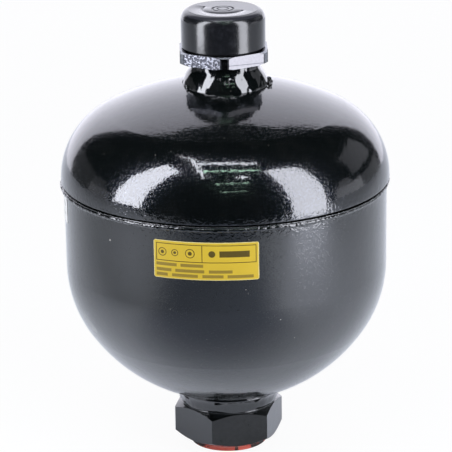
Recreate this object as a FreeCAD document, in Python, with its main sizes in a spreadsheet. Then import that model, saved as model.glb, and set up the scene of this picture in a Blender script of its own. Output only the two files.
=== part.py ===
import FreeCAD, Part
import math
import os
import re
import Sketcher

# Diaphragm accumulator of the one litre class, with a welded steel shell.
# Millimetres. Z is the axis, z = 0 is the underside of the transport plug the part
# stands on, and the yellow label looks towards -Y.

document = FreeCAD.newDocument("DiaphragmAccumulator")

# Driving dimensions: name, size, what it is
size_table = [
    # transport plug
    ("plug_flange_width", 2.8, "how far the plug's flange reaches past the lead-in"),
    ("plug_flange_height", 2.95, "thickness of the plug's flange"),
    ("plug_edge_round", 0.25, "rounding of the flange's edges"),
    ("plug_gap", 0.05, "gap between the flange and the port face"),
    ("plug_clearance", 0.05, "radial clearance of the plug's spigot in the lead-in"),
    ("plug_end_gap", 0.3, "gap between the spigot's end and the port thread"),
    ("plug_wall", 2.0, "wall of the hollow spigot"),
    ("plug_floor", 1.6, "floor under the hollow of the plug"),
    # fluid port
    ("port_across_flats", 41.0, "spanner width of the port's hexagon"),
    ("port_corner_trim", 0.17, "how much the turning takes off the hexagon's corners"),
    ("port_hexagon_turn", 12.9, "angle of the first corner from +X, in degrees"),
    ("port_face_inset", 1.5, "distance from the flats to the rim of the port face"),
    ("port_chamfer_height", 2.8, "height of the lower hexagon chamfer"),
    ("port_collar_chamfer", 1.8, "height of the upper hexagon chamfer"),
    ("port_collar_step", 0.5, "step from the flats to the neck"),
    ("port_neck_height", 5.95, "height of the neck between the hexagon and the shell"),
    ("port_body_height", 21.05, "height from the port face to the shoulder under the shell"),
    ("port_shoulder_width", 4.0, "width of the shoulder under the shell"),
    ("seat_rise", 0.1, "how far the valve seat rises over the thickness of the wall"),
    ("lead_in_step", 1.44, "step from the port thread to the plain lead-in"),
    ("lead_in_depth", 4.0, "depth of the lead-in"),
    ("port_thread_radius", 12.06, "minor radius of the G 3/4 thread"),
    ("port_thread_depth", 16.0, "length of the threaded wall"),
    ("port_edge_chamfer", 0.6, "chamfer at the port's mouth"),
    ("fluid_passage_radius", 6.0, "passage between the thread and the valve seat"),
    ("port_weld_width", 2.4, "how far the weld spreads on the shell"),
    ("port_weld_toe", 0.5, "thickness of the weld at its lower toe"),
    ("port_weld_gap", 0.55, "bare neck between the hexagon and the weld"),
    ("port_weld_hollow", 9.0, "radius of the weld's hollow face"),
    # shells
    ("wall_thickness", 5.5, "steel wall of both shells"),
    ("weld_clearance", 0.05, "radial clearance of the bosses in their holes"),
    ("upper_radius", 68.5, "outside radius of the upper shell"),
    ("seam_step", 1.15, "how much smaller the lower shell's radius is"),
    ("lower_straight", 35.8, "cylindrical length of the lower shell"),
    ("lower_knuckle_ratio", 0.7365, "outside knuckle radius of the lower shell, by its radius"),
    ("lower_crown_excess", 3.5, "how much the crown radius exceeds the lower shell's radius"),
    ("upper_straight", 0.35, "cylindrical length of the upper shell over its rim"),
    ("upper_knuckle_ratio", 0.4613, "outside knuckle radius of the upper shell, by its radius"),
    ("upper_crown_ratio", 1.698, "outside crown radius of the upper shell, by its radius"),
    # girth seam
    ("root_face_ratio", 0.53, "unbevelled share of the wall at the root of the seam"),
    ("lower_bevel", 1.0, "height of the lower shell's bevel"),
    ("upper_bevel", 0.9, "height of the upper shell's bevel"),
    ("rim_round", 0.4, "rounding of the upper shell's rim"),
    ("bead_radius", 1.1, "section radius of the weld bead"),
    ("bead_centre_ratio", 0.55, "how far the bead's centre stands out of the shell, by its radius"),
    ("bead_drop", 1.0, "how far the bead's middle lies under the seam"),
    ("bead_foot_ratio", 0.5, "share of the upper bevel that the weld covers"),
    # diaphragm, its ring and its valve
    ("ring_clearance", 0.05, "radial clearance of the retaining ring in the shell"),
    ("ring_drop", 2.0, "how far the ring's top lies under the seam"),
    ("ring_height", 14.0, "height of the retaining ring"),
    ("ring_wall", 5.8, "radial thickness of the retaining ring"),
    ("ring_lip_height", 1.9, "height of the lip under the diaphragm's bead"),
    ("ring_chamfer", 0.8, "chamfer at the ring's inner edges"),
    ("rim_bead_height", 5.0, "height of the diaphragm's rim bead"),
    ("rim_bead_depth", 3.0, "radial depth of the rim bead"),
    ("rubber_clearance", 0.1, "gap round the diaphragm"),
    ("membrane_thickness", 1.8, "wall of the diaphragm"),
    ("hub_thickness", 2.6, "thicker centre of the diaphragm"),
    ("button_radius", 12.0, "radius of the closing button's disc"),
    ("button_height", 3.0, "thickness of the disc"),
    ("button_edge", 0.6, "chamfer at the disc's edges"),
    ("button_stem_radius", 5.0, "stem through the diaphragm"),
    ("button_head_radius", 9.0, "head over the diaphragm"),
    ("button_head_height", 2.5, "thickness of the head"),
    ("seat_gap", 0.1, "gap between the button and its seat"),
    # gas boss
    ("gas_boss_height", 10.33, "height of the boss over the dome at its own radius"),
    ("gas_boss_chamfer", 0.4, "chamfer at the boss's top edge"),
    ("gas_spigot_wall", 2.95, "wall of the boss's spigot round the stud"),
    ("gas_shoulder_width", 3.0, "width of the boss's shoulder on the dome"),
    ("gas_weld_width", 3.0, "how far the boss weld spreads on the dome"),
    ("gas_weld_height", 9.2, "height of the boss weld on the boss"),
    ("gas_weld_round", 45.0, "radius of the boss weld's hollow face"),
    # gas valve
    ("gas_across_flats", 36.0, "spanner width of the valve's hexagon"),
    ("gas_corner_trim", 0.98, "how much the turning takes off the hexagon's corners"),
    ("gas_hexagon_turn", 31.0, "angle of the first corner from +X, in degrees"),
    ("gas_hexagon_height", 5.2, "height of the valve's hexagon"),
    ("gas_hexagon_chamfer", 0.45, "height of the hexagon's chamfers"),
    ("gas_chamfer_width", 0.9, "width of the hexagon's chamfers"),
    ("stud_radius", 9.0, "threaded stud in the boss"),
    ("stud_length", 13.0, "length of the stud"),
    ("stud_chamfer", 0.8, "chamfer at the stud's end"),
    ("thread_clearance", 0.05, "radial clearance between mating threads"),
    ("nipple_radius", 13.95, "M28 nipple over the hexagon"),
    ("nipple_height", 11.0, "height of the nipple"),
    ("nipple_chamfer", 1.0, "chamfer at the nipple's end"),
    ("recess_clearance", 0.7, "gap round the charging screw's head in its recess"),
    ("recess_depth", 8.6, "depth of that recess"),
    ("gas_passage_radius", 1.5, "gas passage through the stud"),
    ("groove_offset", 1.5, "distance from the stud to the seal groove"),
    ("seal_section", 1.5, "thickness of the valve's seal ring"),
    ("seal_side_room", 0.4, "how much wider than the seal ring its groove is"),
    ("seal_clearance", 0.05, "gap over the seal ring"),
    ("screw_radius", 3.95, "charging screw's shank"),
    ("screw_length", 11.0, "length under the head"),
    ("screw_tip", 1.2, "height of the conical tip"),
    ("screw_head_radius", 6.5, "charging screw's head"),
    ("screw_head_height", 5.0, "height of the head"),
    ("screw_head_chamfer", 0.5, "chamfer of the head"),
    ("socket_across_flats", 5.0, "hexagon socket of the screw"),
    ("socket_depth", 3.0, "depth of the socket"),
    ("tap_allowance", 1.5, "depth of the screw hole under the tip"),
    ("washer_overhang", 0.1, "how far the charging screw's seal reaches past the head"),
    ("washer_height", 1.2, "thickness of that seal"),
    # protective cap
    ("cap_wall", 3.5, "wall of the protective cap round its thread"),
    ("cap_gap", 0.4, "visible gap between the hexagon and the cap"),
    ("cap_top_room", 1.9, "room between the nipple and the cap's top wall"),
    ("cap_top_wall", 3.0, "wall over the cap's hollow"),
    ("cap_edge_round", 3.0, "rounding of the cap's top edge"),
    ("cap_mouth_gap", 0.3, "gap between the dust seal and the cap's mouth"),
    ("cap_mouth_room", 0.2, "gap over the dust seal"),
    ("cap_mouth_chamfer", 0.3, "chamfer at the cap's lower edge"),
    ("dust_seal_gap", 0.35, "gap between the nipple and the dust seal"),
    ("dust_seal_width", 1.6, "radial width of the dust seal"),
    ("dust_seal_height", 1.5, "height of the dust seal"),
    # labels
    ("label_adhesive", 0.05, "adhesive between the labels and the shell"),
    ("label_thickness", 0.12, "thickness of the labels"),
    ("label_corner", 0.8, "corner radius of the labels"),
    ("yellow_label_width", 42.6, "width of the yellow label, along the shell"),
    ("yellow_label_height", 15.7, "height of the yellow label"),
    ("yellow_label_drop", 6.3, "its upper edge, under the seam"),
    ("yellow_label_angle", -97.1, "direction its middle faces, from +X, in degrees"),
    ("white_label_width", 42.3, "width of the white label, along the shell"),
    ("white_label_height", 11.0, "height of the white label"),
    ("white_label_drop", 3.2, "its upper edge, under the seam"),
    ("white_label_angle", 176.0, "direction its middle faces, from +X, in degrees"),
]

sheet = document.addObject("Spreadsheet::Sheet", "Sizes")
for row, (alias, size, note) in enumerate(size_table, start=1):
    sheet.set(f"A{row}", alias)
    sheet.set(f"B{row}", str(size))
    sheet.setAlias(f"B{row}", alias)
    sheet.set(f"C{row}", note)
document.recompute()

# Heights and radii that follow from the driving dimensions
levels = document.addObject("App::VarSet", "Levels")
owners = {alias: "Sizes" for alias, size, note in size_table}


def bound(text):
    # every size's name holds an underscore, so a function such as sqrt is left alone
    return re.sub(r"[a-z]+(?:_[a-z]+)+", lambda name: owners[name.group()] + "." + name.group(), text)


def number(text):
    return float(sheet.evalExpression(bound(text)))


def level(name, expression, note):
    levels.addProperty("App::PropertyFloat", name, "Levels", note)
    levels.setExpression(name, bound(expression))
    document.recompute()
    owners[name] = "Levels"


level("lead_in_radius", "port_thread_radius + lead_in_step", "plain lead-in ahead of the port thread")
level("plug_flange_radius", "lead_in_radius + plug_flange_width", "outer radius of the plug's flange")
level("port_face", "plug_flange_height + plug_gap", "lower face of the port boss")
level("lead_in_end", "port_face + lead_in_depth", "where the thread starts")
level("thread_end", "lead_in_end + port_thread_depth", "where the thread ends")
level("port_shoulder", "port_face + port_body_height", "shoulder under the shell")
level("port_collar", "port_shoulder - port_neck_height", "top of the hexagon")
level("port_seat", "port_shoulder + wall_thickness + seat_rise", "valve seat")
level("port_flat_radius", "port_across_flats / 2", "distance of the hexagon's flats from the axis")
level("port_corner_radius", "port_flat_radius / cos(30) - port_corner_trim",
      "turned radius over the hexagon's corners")
level("port_neck_radius", "port_flat_radius - port_collar_step", "neck under the shell")
level("port_spigot_radius", "port_neck_radius - port_shoulder_width", "spigot in the hole of the shell")
level("port_hole_radius", "port_spigot_radius + weld_clearance", "hole in the lower shell")
level("lower_radius", "upper_radius - seam_step", "outside radius of the lower shell")
level("lower_knuckle", "lower_radius * lower_knuckle_ratio", "outside knuckle radius of the lower shell")
level("lower_crown", "lower_radius + lower_crown_excess", "outside crown radius of the lower shell")
level("upper_knuckle", "upper_radius * upper_knuckle_ratio", "outside knuckle radius of the upper shell")
level("upper_crown", "upper_radius * upper_crown_ratio", "outside crown radius of the upper shell")
level("lower_crown_centre", "port_shoulder + sqrt(lower_crown^2 - port_hole_radius^2)",
      "centre of the lower crown")
level("lower_centre_drop", "sqrt((lower_crown - lower_knuckle)^2 - (lower_radius - lower_knuckle)^2)",
      "height between the centres of knuckle and crown")
level("lower_bend", "lower_crown_centre - lower_centre_drop", "where the lower cylinder ends")
level("lower_bore", "lower_radius - wall_thickness", "inside radius of the lower shell")
level("label_radius", "lower_radius + label_adhesive", "inside radius of the labels")
level("seam_height", "lower_bend + lower_straight", "girth seam")
level("upper_bore", "upper_radius - wall_thickness", "inside radius of the upper shell")
level("seam_root", "upper_bore + wall_thickness * root_face_ratio",
      "radius where the bevels of the seam start")
level("rim_bottom", "seam_height + upper_bevel", "lower edge of the upper shell's rim")
level("upper_bend", "rim_bottom + rim_round + upper_straight", "where the dome's knuckle starts")
level("upper_centre_drop", "sqrt((upper_crown - upper_knuckle)^2 - (upper_radius - upper_knuckle)^2)",
      "height between the centres of knuckle and crown")
level("upper_crown_centre", "upper_bend - upper_centre_drop", "centre of the upper crown")
level("gas_spigot_radius", "stud_radius + thread_clearance + gas_spigot_wall",
      "spigot in the hole of the dome")
level("gas_hole_radius", "gas_spigot_radius + weld_clearance", "hole in the upper shell")
level("gas_boss_radius", "gas_spigot_radius + gas_shoulder_width", "outside radius of the gas boss")
level("gas_shoulder", "upper_crown_centre + sqrt(upper_crown^2 - gas_hole_radius^2)",
      "shoulder of the gas boss on the dome")
level("dome_at_boss", "upper_crown_centre + sqrt(upper_crown^2 - gas_boss_radius^2)",
      "dome height at the boss's radius")
level("gas_boss_end", "upper_crown_centre + sqrt((upper_crown - wall_thickness)^2 - gas_hole_radius^2)",
      "inner end of the gas boss")
level("gas_boss_top", "dome_at_boss + gas_boss_height", "upper face of the gas boss")
level("gas_corner_radius", "gas_across_flats / (2 * cos(30)) - gas_corner_trim",
      "turned radius over the valve hexagon's corners")
level("hexagon_top", "gas_boss_top + gas_hexagon_height", "upper face of the valve's hexagon")
level("nipple_top", "hexagon_top + nipple_height", "end of the M28 nipple")
level("groove_inner_radius", "stud_radius + groove_offset", "inner radius of the seal groove")
level("groove_width", "seal_section + seal_side_room", "width of the seal groove")
level("groove_depth", "seal_section + seal_clearance", "depth of the seal groove")
level("recess_radius", "screw_head_radius + recess_clearance", "recess for the charging screw's head")
level("recess_floor", "nipple_top - recess_depth", "floor of the screw's recess")
level("screw_seat", "recess_floor + washer_height", "underside of the charging screw's head")
level("screw_tip_end", "screw_seat - screw_length", "end of the charging screw")
level("screw_head_top", "screw_seat + screw_head_height", "top of the charging screw")
level("dust_seal_inner", "nipple_radius + dust_seal_gap", "inner radius of the dust seal")
level("dust_seal_outer", "dust_seal_inner + dust_seal_width", "outer radius of the dust seal")
level("cap_bore", "nipple_radius + thread_clearance", "thread of the protective cap")
level("cap_radius", "cap_bore + cap_wall", "outer radius of the protective cap")
level("cap_mouth_radius", "dust_seal_outer + cap_mouth_gap", "counterbore at the cap's mouth")
level("cap_mouth", "hexagon_top + cap_gap", "lower edge of the protective cap")
level("cap_mouth_end", "hexagon_top + dust_seal_height + cap_mouth_room", "end of that counterbore")
level("cap_ceiling", "nipple_top + cap_top_room", "underside of the cap's top wall")
level("cap_top", "cap_ceiling + cap_top_wall", "top of the protective cap")
level("button_seat", "port_seat + seat_gap", "underside of the closing button")
level("button_top", "button_seat + button_height", "top of the button's disc")
level("hub_bottom", "button_top + rubber_clearance", "underside of the diaphragm's hub")
level("hub_top", "hub_bottom + hub_thickness", "upper side of the diaphragm's hub")
level("button_head", "hub_top + rubber_clearance", "underside of the button's head")
level("ring_top", "seam_height - ring_drop", "top of the retaining ring")
level("ring_bottom", "ring_top - ring_height", "bottom of the retaining ring")
level("bead_bottom", "ring_bottom + ring_lip_height + rubber_clearance", "lower side of the rim bead")
level("bead_top", "bead_bottom + rim_bead_height", "upper side of the rim bead")
level("ring_radius", "lower_bore - ring_clearance", "outside radius of the retaining ring")
level("membrane_outside", "wall_thickness + rubber_clearance", "offset of the membrane's outer face")
level("membrane_inside", "membrane_outside + membrane_thickness", "offset of its inner face")


def plane(body, role):
    for feature in body.Origin.OriginFeatures:
        if feature.Role == role:
            return feature


def pin_corner(sketch, kind, label, edge, end, expression):
    # holds one coordinate of a corner at the size its expression gives
    size = number(expression)
    if abs(size) < 1e-9:
        axis = -2 if kind == "DistanceX" else -1
        sketch.addConstraint(Sketcher.Constraint("PointOnObject", edge, end, axis))
        return
    index = sketch.addConstraint(Sketcher.Constraint(kind, -1, 1, edge, end, size))
    sketch.renameConstraint(index, label)
    sketch.setExpression("Constraints." + label, bound(expression))


def arc_between(start, end, radius, turn):
    middle = (start + end) * 0.5
    chord = end - start
    offset = math.sqrt(radius**2 - (chord.Length / 2)**2)
    side = FreeCAD.Vector(-chord.y, chord.x, 0).normalize() * offset
    centre = middle + side if turn == "left" else middle - side
    first, last = (start, end) if turn == "left" else (end, start)
    angle_first = math.atan2(first.y - centre.y, first.x - centre.x)
    angle_last = math.atan2(last.y - centre.y, last.x - centre.x)
    if angle_last < angle_first:
        angle_last += 2 * math.pi
    circle = Part.Circle(centre, FreeCAD.Vector(0, 0, 1), radius)
    return Part.ArcOfCircle(circle, angle_first, angle_last)


def draw(sketch, outline):
    # a corner is (across, up), or (across, up, radius, turn) where an arc leads to the next one
    corners = [FreeCAD.Vector(number(corner[0]), number(corner[1]), 0) for corner in outline]
    first_edge = sketch.GeometryCount
    # first and last point of each edge; an arc that turns right is drawn from its far end
    ends = []
    for index, corner in enumerate(outline):
        here = corners[index]
        there = corners[(index + 1) % len(corners)]
        if len(corner) == 2:
            sketch.addGeometry(Part.LineSegment(here, there), False)
            ends.append((1, 2))
        else:
            sketch.addGeometry(arc_between(here, there, number(corner[2]), corner[3]), False)
            ends.append((1, 2) if corner[3] == "left" else (2, 1))
    for index, (first, last) in enumerate(ends):
        after = (index + 1) % len(ends)
        sketch.addConstraint(Sketcher.Constraint(
            "Coincident", first_edge + index, last, first_edge + after, ends[after][0]))
    for index, corner in enumerate(outline):
        edge = first_edge + index
        pin_corner(sketch, "DistanceX", f"across_{edge}", edge, ends[index][0], corner[0])
        pin_corner(sketch, "DistanceY", f"up_{edge}", edge, ends[index][0], corner[1])
        if len(corner) > 2:
            bend = sketch.addConstraint(Sketcher.Constraint("Radius", edge, number(corner[2])))
            sketch.renameConstraint(bend, f"bend_{edge}")
            sketch.setExpression(f"Constraints.bend_{edge}", bound(corner[2]))


def new_sketch(body, name, role, height=None):
    sketch = body.newObject("Sketcher::SketchObject", name)
    sketch.AttachmentSupport = [(plane(body, role), "")]
    sketch.MapMode = "FlatFace"
    if height:
        sketch.AttachmentOffset = FreeCAD.Placement(FreeCAD.Vector(0, 0, number(height)), FreeCAD.Rotation())
        sketch.setExpression("AttachmentOffset.Base.z", bound(height))
    return sketch


pieces = []


def new_body(name):
    body = document.addObject("PartDesign::Body", name)
    body.Label = name
    pieces.append(body)
    return body


def turned(name, outline):
    # a body of revolution from its half section: across is the radius, up is the height
    body = new_body(name)
    sketch = new_sketch(body, name + "_section", "XZ_Plane")
    draw(sketch, outline)
    revolution = body.newObject("PartDesign::Revolution", name + "_turning")
    revolution.Profile = sketch
    revolution.ReferenceAxis = (sketch, ["V_Axis"])
    revolution.Angle = 360
    document.recompute()
    return body


def hexagon(across_flats, turn):
    corners = []
    for corner in range(6):
        angle = f"({turn} + {60 * corner})"
        reach = f"({across_flats} / (2 * cos(30)))"
        corners.append((f"{reach} * cos{angle}", f"{reach} * sin{angle}"))
    return corners


def mill_hexagon(body, across_flats, turn, top, height, blank_radius):
    # the flats are cut from the turned blank, so its corners stay turned
    sketch = new_sketch(body, body.Name + "_flats", "XY_Plane", top)
    draw(sketch, hexagon(across_flats, turn))
    clear_radius = f"{blank_radius} * 1.5"
    outer = sketch.addGeometry(
        Part.Circle(FreeCAD.Vector(0, 0, 0), FreeCAD.Vector(0, 0, 1), number(clear_radius)), False)
    sketch.addConstraint(Sketcher.Constraint("Coincident", outer, 3, -1, 1))
    radius = sketch.addConstraint(Sketcher.Constraint("Radius", outer, number(clear_radius)))
    sketch.renameConstraint(radius, "clear_radius")
    sketch.setExpression("Constraints.clear_radius", bound(clear_radius))
    cut_down(body, sketch, height)


def cut_down(body, sketch, depth):
    document.recompute()
    volume = body.Shape.Volume
    pocket = body.newObject("PartDesign::Pocket", sketch.Name + "_cut")
    pocket.Profile = sketch
    pocket.Type = 0
    pocket.setExpression("Length", bound(depth))
    document.recompute()
    if body.Shape.Volume >= volume:
        raise RuntimeError(body.Label + ": the cut removed nothing")


def torispherical(radius, knuckle, crown, offset, bend, drop, centre, up):
    # corners where a dished head's knuckle starts and meets its crown, moved in by an offset
    sign = "+" if up else "-"
    ratio = f"(({crown} - {offset}) / ({crown} - {knuckle}))"
    start = (f"{radius} - {offset}", bend)
    meet = (f"({radius} - {knuckle}) * {ratio}", f"{centre} {sign} {drop} * {ratio}")
    return start, meet


def on_crown(crown, offset, centre, radius, up):
    sign = "+" if up else "-"
    return f"{centre} {sign} sqrt(({crown} - {offset})^2 - ({radius})^2)"


# Transport plug: a flanged plastic cup pushed into the port's lead-in
plug_spigot = "(lead_in_radius - plug_clearance)"
turned("transport_plug", [
    ("0", "0"),
    ("plug_flange_radius - plug_edge_round", "0", "plug_edge_round", "left"),
    ("plug_flange_radius", "plug_edge_round"),
    ("plug_flange_radius", "plug_flange_height - plug_edge_round", "plug_edge_round", "left"),
    ("plug_flange_radius - plug_edge_round", "plug_flange_height"),
    (plug_spigot, "plug_flange_height"),
    (plug_spigot, "lead_in_end - plug_end_gap"),
    (f"{plug_spigot} - plug_wall", "lead_in_end - plug_end_gap"),
    (f"{plug_spigot} - plug_wall", "plug_floor"),
    ("0", "plug_floor"),
])

# Port boss: turned from hexagon bar, with the G 3/4 port and the seat of the closing button
port_boss = turned("port_boss", [
    ("lead_in_radius + port_edge_chamfer", "port_face"),
    ("port_flat_radius - port_face_inset", "port_face"),
    ("port_corner_radius", "port_face + port_chamfer_height"),
    ("port_corner_radius", "port_collar - port_collar_chamfer"),
    ("port_flat_radius", "port_collar"),
    ("port_neck_radius", "port_collar + port_collar_step"),
    ("port_neck_radius", "port_shoulder"),
    ("port_spigot_radius", "port_shoulder"),
    ("port_spigot_radius", "port_seat"),
    ("fluid_passage_radius", "port_seat"),
    ("fluid_passage_radius", "thread_end"),
    ("port_thread_radius", "thread_end"),
    ("port_thread_radius", "lead_in_end"),
    ("lead_in_radius", "lead_in_end"),
    ("lead_in_radius", "port_face + port_edge_chamfer"),
])
mill_hexagon(port_boss, "port_across_flats", "port_hexagon_turn", "port_collar",
             "port_collar - port_face", "port_corner_radius")

# Port weld: the collar that flares from the boss's neck onto the shell
port_weld_reach = "(port_neck_radius + port_weld_width)"
port_weld_bottom = "(port_collar + port_collar_step + port_weld_gap)"
turned("port_weld", [
    ("port_neck_radius", port_weld_bottom),
    ("port_neck_radius + port_weld_toe", port_weld_bottom, "port_weld_hollow", "right"),
    (port_weld_reach, on_crown("lower_crown", "0", "lower_crown_centre", port_weld_reach, False),
     "lower_crown", "right"),
    ("port_hole_radius", "port_shoulder"),
    ("port_neck_radius", "port_shoulder"),
])

# Lower shell: a drawn cup with a dished bottom, bevelled for the seam
outer_start, outer_meet = torispherical("lower_radius", "lower_knuckle", "lower_crown", "0",
                                        "lower_bend", "lower_centre_drop", "lower_crown_centre", False)
inner_start, inner_meet = torispherical("lower_radius", "lower_knuckle", "lower_crown", "wall_thickness",
                                        "lower_bend", "lower_centre_drop", "lower_crown_centre", False)
turned("lower_shell", [
    ("lower_radius", "seam_height - lower_bevel"),
    outer_start + ("lower_knuckle", "right"),
    outer_meet + ("lower_crown", "right"),
    ("port_hole_radius", "port_shoulder"),
    ("port_hole_radius",
     on_crown("lower_crown", "wall_thickness", "lower_crown_centre", "port_hole_radius", False),
     "lower_crown - wall_thickness", "left"),
    inner_meet + ("lower_knuckle - wall_thickness", "left"),
    inner_start,
    ("lower_bore", "seam_height"),
    ("seam_root", "seam_height"),
])

# Upper shell: the dished dome with the hole of the gas boss
outer_start, outer_meet = torispherical("upper_radius", "upper_knuckle", "upper_crown", "0",
                                        "upper_bend", "upper_centre_drop", "upper_crown_centre", True)
inner_start, inner_meet = torispherical("upper_radius", "upper_knuckle", "upper_crown", "wall_thickness",
                                        "upper_bend", "upper_centre_drop", "upper_crown_centre", True)
turned("upper_shell", [
    ("seam_root", "seam_height"),
    ("upper_radius - rim_round", "rim_bottom", "rim_round", "left"),
    ("upper_radius", "rim_bottom + rim_round"),
    outer_start + ("upper_knuckle", "left"),
    outer_meet + ("upper_crown", "left"),
    ("gas_hole_radius", "gas_shoulder"),
    ("gas_hole_radius", "gas_boss_end", "upper_crown - wall_thickness", "right"),
    inner_meet + ("upper_knuckle - wall_thickness", "right"),
    inner_start,
    ("upper_bore", "seam_height"),
])

# Girth weld: fills the bevels and stands out as a round bead under the dark groove
bead_half = "(bead_radius * sqrt(1 - bead_centre_ratio^2))"
bead_proud = "(bead_radius * (1 + bead_centre_ratio))"
turned("girth_weld", [
    ("seam_root", "seam_height"),
    ("lower_radius", "seam_height - lower_bevel"),
    ("lower_radius", f"seam_height - bead_drop - {bead_half}", "bead_radius", "left"),
    (f"lower_radius + {bead_proud}", "seam_height - bead_drop", "bead_radius", "left"),
    ("lower_radius", f"seam_height - bead_drop + {bead_half}"),
    ("seam_root + (upper_radius - rim_round - seam_root) * bead_foot_ratio",
     "seam_height + upper_bevel * bead_foot_ratio"),
])

# Retaining ring: holds the diaphragm's bead against the shell
ring_bore = "(ring_radius - ring_wall)"
bead_pocket = "(ring_radius - rim_bead_depth - rubber_clearance)"
lip_radius = "(lower_radius - membrane_inside - rubber_clearance)"
turned("retaining_ring", [
    (f"{ring_bore} + ring_chamfer", "ring_bottom"),
    (lip_radius, "ring_bottom"),
    (lip_radius, "bead_bottom - rubber_clearance"),
    (bead_pocket, "bead_bottom - rubber_clearance"),
    (bead_pocket, "bead_top + rubber_clearance"),
    ("ring_radius", "bead_top + rubber_clearance"),
    ("ring_radius", "ring_top"),
    (f"{ring_bore} + ring_chamfer", "ring_top"),
    (ring_bore, "ring_top - ring_chamfer"),
    (ring_bore, "ring_bottom + ring_chamfer"),
])

# Diaphragm: a rubber bowl that lines the lower shell while only gas is in it
outer_start, outer_meet = torispherical("lower_radius", "lower_knuckle", "lower_crown", "membrane_outside",
                                        "lower_bend", "lower_centre_drop", "lower_crown_centre", False)
inner_start, inner_meet = torispherical("lower_radius", "lower_knuckle", "lower_crown", "membrane_inside",
                                        "lower_bend", "lower_centre_drop", "lower_crown_centre", False)
hub_edge = "sqrt((lower_crown - membrane_outside)^2 - (lower_crown_centre - hub_bottom)^2)"
hub_rim = "sqrt((lower_crown - membrane_inside)^2 - (lower_crown_centre - hub_top)^2)"
stem_hole = "(button_stem_radius + rubber_clearance)"
turned("diaphragm", [
    ("lower_radius - membrane_outside", "bead_top"),
    outer_start + ("lower_knuckle - membrane_outside", "right"),
    outer_meet + ("lower_crown - membrane_outside", "right"),
    (hub_edge, "hub_bottom"),
    (stem_hole, "hub_bottom"),
    (stem_hole, "hub_top"),
    (hub_rim, "hub_top", "lower_crown - membrane_inside", "left"),
    inner_meet + ("lower_knuckle - membrane_inside", "left"),
    inner_start,
    ("lower_radius - membrane_inside", "bead_bottom"),
    ("ring_radius - rim_bead_depth", "bead_bottom"),
    ("ring_radius - rim_bead_depth", "bead_top"),
])

# Closing button: a spool moulded through the diaphragm, it shuts the port when the shell is empty
turned("closing_button", [
    ("0", "button_seat"),
    ("button_radius - button_edge", "button_seat"),
    ("button_radius", "button_seat + button_edge"),
    ("button_radius", "button_top - button_edge"),
    ("button_radius - button_edge", "button_top"),
    ("button_stem_radius", "button_top"),
    ("button_stem_radius", "button_head"),
    ("button_head_radius", "button_head"),
    ("button_head_radius", "button_head + button_head_height - button_edge"),
    ("button_head_radius - button_edge", "button_head + button_head_height"),
    ("0", "button_head + button_head_height"),
])

# Gas boss: the threaded ring welded into the dome
boss_bore = "(stud_radius + thread_clearance)"
turned("gas_boss", [
    (boss_bore, "gas_boss_end"),
    ("gas_spigot_radius", "gas_boss_end"),
    ("gas_spigot_radius", "gas_shoulder"),
    ("gas_boss_radius", "gas_shoulder"),
    ("gas_boss_radius", "gas_boss_top - gas_boss_chamfer"),
    ("gas_boss_radius - gas_boss_chamfer", "gas_boss_top"),
    (boss_bore, "gas_boss_top"),
])

# Gas boss weld: the fillet between the boss and the dome
gas_weld_reach = "(gas_boss_radius + gas_weld_width)"
turned("gas_boss_weld", [
    ("gas_boss_radius", "dome_at_boss", "upper_crown", "right"),
    (gas_weld_reach, on_crown("upper_crown", "0", "upper_crown_centre", gas_weld_reach, True),
     "gas_weld_round", "right"),
    ("gas_boss_radius", "dome_at_boss + gas_weld_height"),
])

# Gas valve body: stud, zinc plated hexagon and the M28 nipple for the charging tool
screw_hole = "(screw_radius + thread_clearance)"
hole_end = "(screw_tip_end - tap_allowance)"
groove_outer = "(groove_inner_radius + groove_width)"
gas_face_radius = "(gas_corner_radius - gas_chamfer_width)"
valve_body = turned("valve_body", [
    ("gas_passage_radius", "gas_boss_top - stud_length"),
    ("stud_radius - stud_chamfer", "gas_boss_top - stud_length"),
    ("stud_radius", "gas_boss_top - stud_length + stud_chamfer"),
    ("stud_radius", "gas_boss_top"),
    ("groove_inner_radius", "gas_boss_top"),
    ("groove_inner_radius", "gas_boss_top + groove_depth"),
    (groove_outer, "gas_boss_top + groove_depth"),
    (groove_outer, "gas_boss_top"),
    (gas_face_radius, "gas_boss_top"),
    ("gas_corner_radius", "gas_boss_top + gas_hexagon_chamfer"),
    ("gas_corner_radius", "hexagon_top - gas_hexagon_chamfer"),
    (gas_face_radius, "hexagon_top"),
    ("nipple_radius", "hexagon_top"),
    ("nipple_radius", "nipple_top - nipple_chamfer"),
    ("nipple_radius - nipple_chamfer", "nipple_top"),
    ("recess_radius", "nipple_top"),
    ("recess_radius", "recess_floor"),
    (screw_hole, "recess_floor"),
    (screw_hole, hole_end),
    ("gas_passage_radius", f"{hole_end} - ({screw_hole} - gas_passage_radius)"),
])
mill_hexagon(valve_body, "gas_across_flats", "gas_hexagon_turn", "hexagon_top",
             "gas_hexagon_height", "gas_corner_radius")

# Valve body seal: the round ring in the groove under the hexagon
valve_body_seal = document.addObject("Part::Torus", "valve_body_seal")
valve_body_seal.Label = "valve_body_seal"
valve_body_seal.setExpression("Radius1", bound("groove_inner_radius + groove_width / 2"))
valve_body_seal.setExpression("Radius2", bound("seal_section / 2"))
valve_body_seal.setExpression("Placement.Base.z", bound("gas_boss_top + groove_depth / 2"))
pieces.append(valve_body_seal)

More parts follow.
